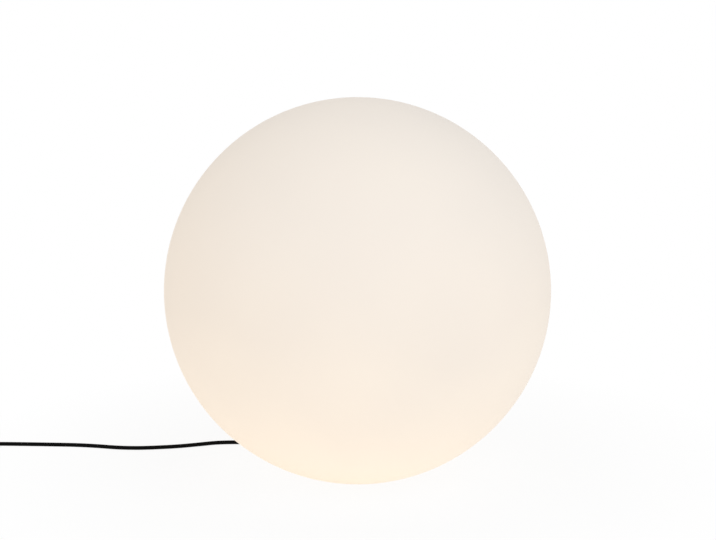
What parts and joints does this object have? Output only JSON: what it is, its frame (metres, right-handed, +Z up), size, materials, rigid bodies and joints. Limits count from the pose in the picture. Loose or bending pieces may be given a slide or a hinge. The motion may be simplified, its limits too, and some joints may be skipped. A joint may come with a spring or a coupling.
{
  "type": "outdoor floor lamp",
  "caption": "Glowing opal globe that rests on the floor on a hidden base, with a screw-in bulb inside and a black mains lead with a two-pin plug.",
  "frame": {"origin": "on the floor under the middle of the globe", "axes": "+Z up through the globe's pole, -Y to the front, +Y to the back where the lead comes out, +X to the right"},
  "size_m": [0.9535, 0.5598, 0.5466],
  "materials": {
    "opal_plastic": "satin opal polyethylene, lit from inside",
    "frosted_plastic": "frosted polycarbonate, lit from inside",
    "black_plastic": "moulded satin",
    "holder_plastic": "moulded gloss",
    "black_rubber": "matt",
    "cord_rubber": "matt extruded",
    "plug_rubber": "matt moulded",
    "tie_fabric": "hook-and-loop strap",
    "brass": "turned",
    "steel": "stainless",
    "zinc_steel": "zinc plated",
    "nickel_sheet": "nickel plated sheet",
    "nickel_pins": "nickel plated brass",
    "white_ceramic": "unglazed steatite",
    "brown_insulation": "extruded",
    "blue_insulation": "extruded",
    "bulb_plastic": "moulded satin",
    "board_aluminium": "white coated",
    "light_chips": "phosphor coated",
    "driver_board": "coated circuit board"
  },
  "bodies": {
    "base": {"base_plate": "black_plastic", "base_gasket": "black_rubber", "base_screws": "steel", "screw_washers": "steel", "rubber_feet": "black_rubber", "gland_body": "black_plastic", "gland_washer": "black_rubber", "gland_locknut": "black_plastic", "gland_seal": "black_rubber", "gland_dome_nut": "black_plastic", "holder_bracket": "zinc_steel", "bracket_screws": "steel", "holder_nipple": "zinc_steel", "nipple_nut": "zinc_steel", "holder_cap": "holder_plastic", "holder_core": "white_ceramic", "wire_terminals": "brass", "terminal_screws": "steel", "screw_shell": "nickel_sheet", "centre_contact": "brass", "holder_skirt": "holder_plastic", "core_brown": "brown_insulation", "core_blue": "blue_insulation", "cord_entry": "cord_rubber", "cord_lead": "cord_rubber", "cord_coil": "cord_rubber", "cord_tie": "tie_fabric", "plug_boot": "cord_rubber", "plug_body": "plug_rubber", "plug_pins": "nickel_pins"},
    "globe": {"globe_shell": "opal_plastic", "threaded_inserts": "brass"},
    "bulb_dome": {"bulb_diffuser": "frosted_plastic"},
    "bulb": {"bulb_contact": "nickel_sheet", "bulb_insulator": "holder_plastic", "bulb_cap": "nickel_sheet", "bulb_housing": "bulb_plastic", "bulb_light_board": "board_aluminium", "bulb_light_chips": "light_chips", "bulb_driver": "driver_board"}
  },
  "joints": [
    {"name": "globe_lift", "type": "slide", "parent": "base", "child": "globe", "axis": [0, 0, 1], "range_m": [0, 0.28]},
    {"name": "bulb_lift", "type": "slide", "parent": "base", "child": "bulb_dome", "axis": [0, 0, 1], "range_m": [0, 0.0182]},
    {"name": "bulb_turn", "type": "hinge", "parent": "bulb_dome", "child": "bulb", "pos_m": [0, 0, 0.2], "axis": [0, 0, 1], "range_deg": [0, 1800]}
  ],
  "couplings": [
    {"joint": "bulb_lift", "follows": "bulb_turn", "m_per_rad": 0.00057757}
  ]
}
